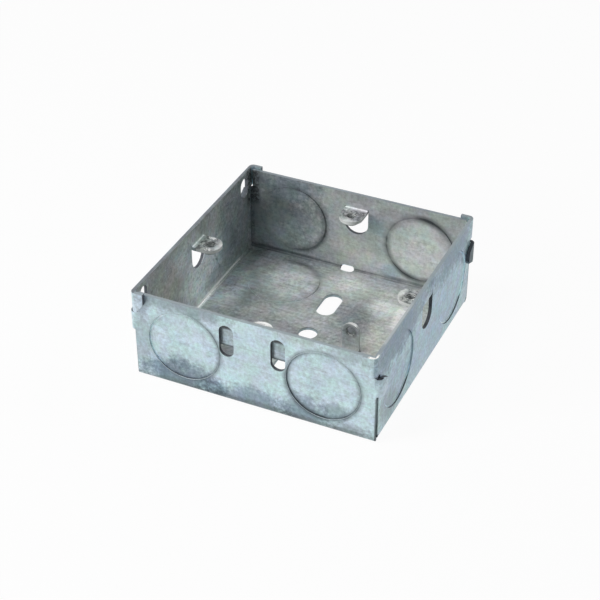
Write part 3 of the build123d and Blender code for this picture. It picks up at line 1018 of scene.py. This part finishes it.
@dataclass
class ShearBurrs:
    """The ragged lip left round each knock-out where the punch half sheared it."""

    sizes: BoxSizes
    finish: ShearedSteel
    lip_mm: float = 0.09
    ragged_mm: float = 0.10
    grain_mm: float = 1.7
    base_rise_mm: float = 0.14
    ring_steps: int = 120
    lip_sides: int = 5
    seed: float = 4.0

    def tree(self) -> GrowTree:
        """A ring of uneven wire, as a geometry node tree.

        Returns:
            The tree, ready to grow.
        """
        tree = GrowTree("shear_burr", {
            "Radius": self.sizes.knockout_radius * MM,
            "Lip": self.lip_mm * MM,
            "Ragged": self.ragged_mm * MM,
            "Grain": self.grain_mm * MM,
            "Seed": self.seed,
        })
        sheet = tree.sheet
        ring = tree.circle(self.ring_steps, "Radius")
        place = sheet.node("GeometryNodeInputPosition")
        noise = sheet.node("ShaderNodeTexNoise", {"noise_dimensions": "4D"}, {
            "Vector": place, "W": tree.value("Seed"), "Scale": 1.0 / tree.value("Grain"),
        }, "Color")
        centred = sheet.node("ShaderNodeVectorMath", {"operation": "SUBTRACT"}, {
            0: noise, 1: (0.5, 0.5, 0.5),
        })
        push = sheet.scaled(centred, tree.value("Ragged"))
        ring = sheet.node("GeometryNodeSetPosition", {}, {"Geometry": ring, "Offset": push})
        lip = tree.circle(self.lip_sides, "Lip")
        wire = sheet.node("GeometryNodeCurveToMesh", {}, {"Curve": ring, "Profile Curve": lip})
        tree.close(wire, self.finish.build())
        return tree

    def marks(self) -> list[tuple[Point, Point]]:
        """The lips of the knock-outs that were left ragged, sunk outside and proud inside.

        Returns:
            Places and turns of the rings.
        """
        size = self.sizes
        found: list[tuple[Point, Point]] = []
        outer, inner = size.half, size.half - size.sheet - size.knockout_shift
        faces = {
            Wall.FRONT: (outer, inner),
            Wall.RIGHT: (inner,),
            Wall.BACK: (outer,),
            Wall.LEFT: (outer,),
        }
        for wall in Wall:
            for side in (-size.knockout_along, size.knockout_along):
                for face in faces[wall]:
                    place = wall.turned((side, -face, size.knockout_rise))
                    found.append((place, (math.pi / 2, 0.0, wall.angle)))
        found.append(((*size.base_knockout, self.base_rise_mm), (0.0, 0.0, 0.0)))
        return found

    def build(self) -> bpy.types.Object:
        """Grows the lips and joins them to the box.

        Returns:
            The finished piece.
        """
        piece = self.tree().grow("shear_burrs", self.marks())
        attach(piece, "root")
        return piece


@dataclass
class ScrewThreads:
    """The cut threads inside the lugs and the earth tab."""

    sizes: BoxSizes
    finish: ShearedSteel
    ridge_mm: float = 0.17
    turn_steps: int = 28
    ridge_sides: int = 4

    def tree(self, name: str, radius: float, length: float, pitch: float) -> GrowTree:
        """One internal thread as a wound ridge.

        Args:
            name: the tree's name.
            radius: core radius of the thread, in millimetres.
            length: its length.
            pitch: rise of one turn.

        Returns:
            The tree, ready to grow.
        """
        tree = GrowTree(name, {
            "Radius": radius * MM,
            "Length": length * MM,
            "Pitch": pitch * MM,
            "Ridge": self.ridge_mm * MM,
        })
        sheet = tree.sheet
        turns = tree.value("Length") / tree.value("Pitch")
        wound = sheet.node("GeometryNodeCurveSpiral", {}, {
            "Resolution": self.turn_steps,
            "Rotations": turns,
            "Start Radius": tree.value("Radius"),
            "End Radius": tree.value("Radius"),
            "Height": tree.value("Length"),
        })
        ridge = tree.circle(self.ridge_sides, "Ridge")
        wire = sheet.node("GeometryNodeCurveToMesh", {}, {
            "Curve": wound, "Profile Curve": ridge, "Fill Caps": True,
        })
        tree.close(wire, self.finish.build())
        return tree

    def build(self) -> list[bpy.types.Object]:
        """Winds the threads of the lugs and of the earth tab.

        Returns:
            The two finished pieces.
        """
        size = self.sizes
        radius, length = size.lug_thread
        place = (0.0, -size.lug_centre, size.lug_top - length)
        marks = [(wall.turned(place), (0.0, 0.0, wall.angle)) for wall in Wall]
        lugs = self.tree("lug_thread", radius, length, size.lug_pitch).grow("lug_threads", marks)
        radius, length = size.earth_thread
        earth = self.tree("earth_thread", radius, length, size.earth_pitch)
        earth_piece = earth.grow("earth_thread", [(size.earth_place, (math.pi / 2, 0.0, 0.0))])
        for piece in (lugs, earth_piece):
            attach(piece, "root")
        return [lugs, earth_piece]


@dataclass
class FoldedBox:
    """The folded sheet itself, which keeps its modelled shape and gets its zinc coat."""

    finish: GalvanisedSteel

    def build(self) -> bpy.types.Object:
        """Dresses the folded sheet.

        Returns:
            The dressed object.
        """
        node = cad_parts["back_box"]
        coat = self.finish.build()
        if not node.material_slots:
            node.data.materials.append(coat)
        for slot in node.material_slots:
            slot.material = coat
        return node


# Studio


@dataclass(frozen=True)
class SoftBox:
    """One soft studio lamp, aimed at the box."""

    name: str
    place: Point
    size: float
    power: float
    aim: Point = (0.0, 0.0, 0.012)

    def build(self) -> bpy.types.Object:
        """Hangs the lamp.

        Returns:
            The lamp's object.
        """
        data = bpy.data.lights.new(self.name, "AREA")
        data.shape = "DISK"
        data.size = self.size
        data.energy = self.power
        lamp = bpy.data.objects.new(self.name, data)
        lamp.location = self.place
        away = Vector(self.place) - Vector(self.aim)
        lamp.rotation_euler = away.to_track_quat("Z", "Y").to_euler()
        bpy.context.scene.collection.objects.link(lamp)
        return lamp


@dataclass
class Studio:
    """Pale floor, white surround, soft lamps and the camera at the photograph's angle."""

    azimuth: float = 24.769
    elevation: float = 35.637
    roll: float = -0.106
    distance_mm: float = 439.91
    lens_mm: float = 93.64
    slide_mm: tuple[float, float] = (2.193, -10.051)
    sensor_mm: float = 36.0
    nearest_m: float = 0.01
    ambient: float = 0.06
    ambient_colour: Colour = (0.97, 0.985, 1.0)
    white: Colour = (1.0, 1.0, 1.0)
    floor_colours: tuple[Colour, Colour] = ((0.93, 0.935, 0.94), (0.95, 0.95, 0.95))
    floor_glow: float = 0.95
    floor_reach_m: float = 3.0
    floor_gap_m: float = 0.00004
    lamps: list[SoftBox] = field(default_factory=lambda: [
        SoftBox("key", (-0.24, -0.24, 0.62), 0.25, 2.0),
        SoftBox("side", (-0.46, -0.46, 0.28), 0.25, 1.9),
        SoftBox("back", (0.42, 0.42, 0.42), 0.25, 0.65),
    ])

    def camera(self) -> bpy.types.Object:
        """Sets up the camera.

        Returns:
            The camera's object.
        """
        turn, lift, tip = (math.radians(a) for a in (self.azimuth, self.elevation, self.roll))
        right = Vector((math.cos(turn), math.sin(turn), 0.0))
        back = Vector((
            math.sin(turn) * math.cos(lift), -math.cos(turn) * math.cos(lift), math.sin(lift),
        ))
        up = back.cross(right)
        slide_x, slide_y = self.slide_mm
        place = (back * self.distance_mm - right * slide_x - up * slide_y) * MM
        rolled_right = right * math.cos(tip) + up * math.sin(tip)
        rolled_up = up * math.cos(tip) - right * math.sin(tip)
        data = bpy.data.cameras.new("camera")
        data.lens = self.lens_mm
        data.sensor_width = self.sensor_mm
        data.clip_start = self.nearest_m
        camera = bpy.data.objects.new("camera", data)
        turned = Matrix((rolled_right, rolled_up, back)).transposed()
        camera.matrix_world = Matrix.Translation(place) @ turned.to_4x4()
        bpy.context.scene.collection.objects.link(camera)
        bpy.context.scene.camera = camera
        return camera

    @staticmethod
    def seen_directly(sheet: NodeSheet) -> Sock:
        """Tells the rays that show the surround itself from those that only light the box.

        Args:
            sheet: the sheet that the mask is written on.

        Returns:
            One for rays to the camera, in metal and through gaps, zero for the others.
        """
        return largest(sheet.node("ShaderNodeLightPath", {}, {}, use.value) for use in Use)

    def world(self) -> None:
        """Makes the surround white to look at and dim as a light."""
        world = bpy.data.worlds.new("surround")
        bpy.context.scene.world = world
        world.use_nodes = True
        sheet = NodeSheet(world.node_tree)
        kind, seen = "ShaderNodeBackground", self.seen_directly(sheet)
        soft = sheet.node(kind, {}, {"Color": self.ambient_colour, "Strength": self.ambient})
        white = sheet.node(kind, {}, {"Color": self.white, "Strength": 1.0})
        both = sheet.node("ShaderNodeMixShader", {}, {0: seen, 1: soft, 2: white})
        sheet.node("ShaderNodeOutputWorld", {}, {"Surface": both})

    def floor(self) -> bpy.types.Object:
        """Lays the pale floor.

        Returns:
            The floor's object.
        """
        material, sheet = new_material("pale_floor")
        place = sheet.node("ShaderNodeTexCoord", output="Object")
        tone = sheet.node("ShaderNodeTexNoise", {}, {"Vector": place, "Scale": 30.0})
        colour = sheet.mix(tone, *self.floor_colours)
        matt = sheet.node("ShaderNodeBsdfDiffuse", {}, {"Color": colour})
        glow = sheet.node("ShaderNodeEmission", {}, {"Color": self.white, "Strength": 1.0})
        share = self.floor_glow * self.seen_directly(sheet)
        close_material(sheet, sheet.node("ShaderNodeMixShader", {}, {0: share, 1: matt, 2: glow}))
        mesh = bpy.data.meshes.new("floor")
        reach, low = self.floor_reach_m, -self.floor_gap_m
        signs = ((-1, -1), (1, -1), (1, 1), (-1, 1))
        mesh.from_pydata([(x * reach, y * reach, low) for x, y in signs], [], [(0, 1, 2, 3)])
        mesh.materials.append(material)
        floor = bpy.data.objects.new("floor", mesh)
        bpy.context.scene.collection.objects.link(floor)
        return floor

    def build(self) -> None:
        """Puts the studio up round the box."""
        bpy.context.scene.view_settings.view_transform = "Standard"
        self.camera()
        self.world()
        self.floor()
        for lamp in self.lamps:
            lamp.build()


def main() -> None:
    """Dresses the box, adds its small details and sets up the studio."""
    logging.basicConfig(level=logging.INFO, format="%(name)s: %(message)s")
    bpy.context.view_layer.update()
    sizes = BoxSizes()
    node = FoldedBox(GalvanisedSteel(sizes)).build()
    log.info("dressed %s", node.name)
    torn = ShearedSteel("torn_edge", (0.34, 0.41, 0.44), (0.54, 0.62, 0.65), 0.5)
    burrs = ShearBurrs(sizes, torn).build()
    log.info("made %s with %d faces", burrs.name, len(burrs.data.polygons))
    cut = ShearedSteel("cut_thread", (0.12, 0.13, 0.13), (0.50, 0.52, 0.52), 0.32)
    for piece in ScrewThreads(sizes, cut).build():
        log.info("made %s with %d faces", piece.name, len(piece.data.polygons))
    Studio().build()
    log.info("studio is up")


if __name__ == "__main__":
    main()
